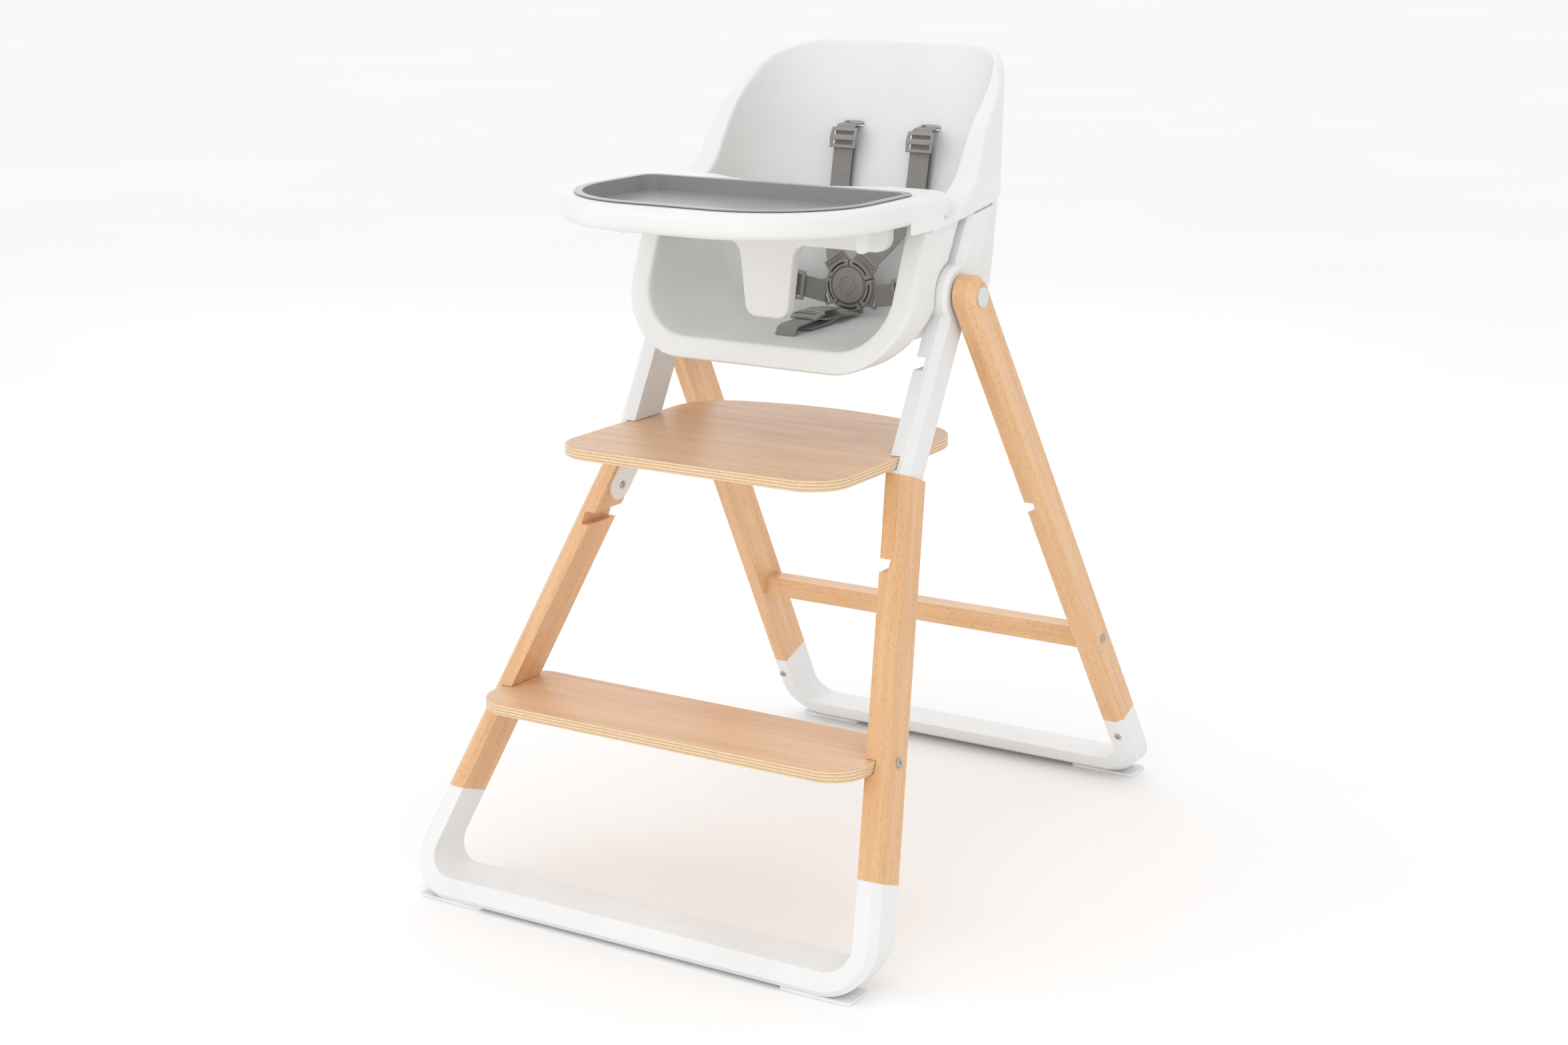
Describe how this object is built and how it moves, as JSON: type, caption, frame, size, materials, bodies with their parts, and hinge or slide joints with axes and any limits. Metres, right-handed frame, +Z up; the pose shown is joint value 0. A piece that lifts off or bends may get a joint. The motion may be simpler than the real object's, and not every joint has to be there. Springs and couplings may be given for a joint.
{
  "type": "baby high chair",
  "caption": "Folding baby high chair with a moulded seat, sliding tray, harness, wooden legs and plywood foot panels.",
  "frame": {"origin": "on the floor, midway between the two sides and midway between the front of the front foot and the back of the rear foot", "axes": "+X to the chair's side, -Y the way the chair faces, +Z up"},
  "size_m": [0.5794, 0.804, 0.905],
  "materials": {
    "frame_plastic": "satin moulded plastic",
    "seat_plastic": "satin moulded plastic",
    "liner_plastic": "semi-gloss moulded plastic",
    "beech": "clear satin lacquer",
    "plywood": "clear satin lacquer, layered edges",
    "pad_rubber": "matt",
    "steel": "zinc plated",
    "cap_plastic": "smooth cap",
    "webbing": "woven polyester webbing",
    "buckle_plastic": "fine moulded texture"
  },
  "bodies": {
    "front_frame": {"front_foot_bar": "frame_plastic", "front_foot_pad_left": "pad_rubber", "front_foot_pad_right": "pad_rubber", "front_leg_left": "beech", "front_leg_right": "beech", "front_arm_left": "frame_plastic", "front_arm_right": "frame_plastic", "pivot_pin_left": "steel", "pivot_pin_right": "steel", "pivot_washer_left": "steel", "pivot_washer_right": "steel", "arm_screws": "steel", "footrest_panel": "plywood", "footrest_bolts": "steel", "front_sleeve_screws": "steel", "seat_shell": "seat_plastic", "seat_pins": "steel", "crotch_strap": "webbing", "crotch_adjusters": "buckle_plastic", "buckle_body": "buckle_plastic", "buckle_connectors": "buckle_plastic", "shoulder_strap_left": "webbing", "shoulder_strap_right": "webbing", "waist_strap_left": "webbing", "waist_strap_right": "webbing", "waist_adjuster_left": "buckle_plastic", "waist_adjuster_right": "buckle_plastic"},
    "rear_frame": {"rear_foot_bar": "frame_plastic", "rear_foot_pad_left": "pad_rubber", "rear_foot_pad_right": "pad_rubber", "rear_leg_left": "beech", "rear_leg_right": "beech", "pivot_cap_left": "cap_plastic", "pivot_cap_right": "cap_plastic", "rear_rail": "beech", "rail_bolts": "steel", "rear_sleeve_screws": "steel"},
    "tray": {"tray_shell": "seat_plastic", "tray_runners": "seat_plastic", "crotch_post": "seat_plastic"},
    "tray_liner": {"tray_insert": "liner_plastic"},
    "tray_lever_left": {"tray_lever_left": "seat_plastic"},
    "tray_lever_right": {"tray_lever_right": "seat_plastic"},
    "upper_shelf": {"upper_panel": "plywood"},
    "buckle_button": {"buckle_button": "buckle_plastic"},
    "shoulder_adjuster_left": {"shoulder_adjuster_left": "buckle_plastic"},
    "shoulder_adjuster_right": {"shoulder_adjuster_right": "buckle_plastic"}
  },
  "joints": [
    {"name": "rear_fold", "type": "hinge", "parent": "front_frame", "child": "rear_frame", "pos_m": [0, -0.02394, 0.6565], "axis": [1, 0, 0], "range_deg": [-48, 0]},
    {"name": "tray_slide", "type": "slide", "parent": "front_frame", "child": "tray", "axis": [0, -1, 0], "range_m": [0, 0.08]},
    {"name": "liner_lift", "type": "slide", "parent": "tray", "child": "tray_liner", "axis": [0, 0, 1], "range_m": [0, 0.05]},
    {"name": "lever_pull_left", "type": "slide", "parent": "tray", "child": "tray_lever_left", "axis": [0, -1, 0], "range_m": [0, 0.006], "stiffness_N_per_m": 300},
    {"name": "lever_pull_right", "type": "slide", "parent": "tray", "child": "tray_lever_right", "axis": [0, -1, 0], "range_m": [0, 0.006], "stiffness_N_per_m": 300},
    {"name": "shelf_slide", "type": "slide", "parent": "front_frame", "child": "upper_shelf", "axis": [0, -1, 0], "range_m": [0, 0.055]},
    {"name": "button_press", "type": "slide", "parent": "front_frame", "child": "buckle_button", "axis": [0, 1, 0], "range_m": [0, 0.002], "stiffness_N_per_m": 600},
    {"name": "adjuster_slide_left", "type": "slide", "parent": "front_frame", "child": "shoulder_adjuster_left", "axis": [0, -0.1863, -0.9825], "range_m": [0, 0.034]},
    {"name": "adjuster_slide_right", "type": "slide", "parent": "front_frame", "child": "shoulder_adjuster_right", "axis": [0, -0.1863, -0.9825], "range_m": [0, 0.034]}
  ]
}
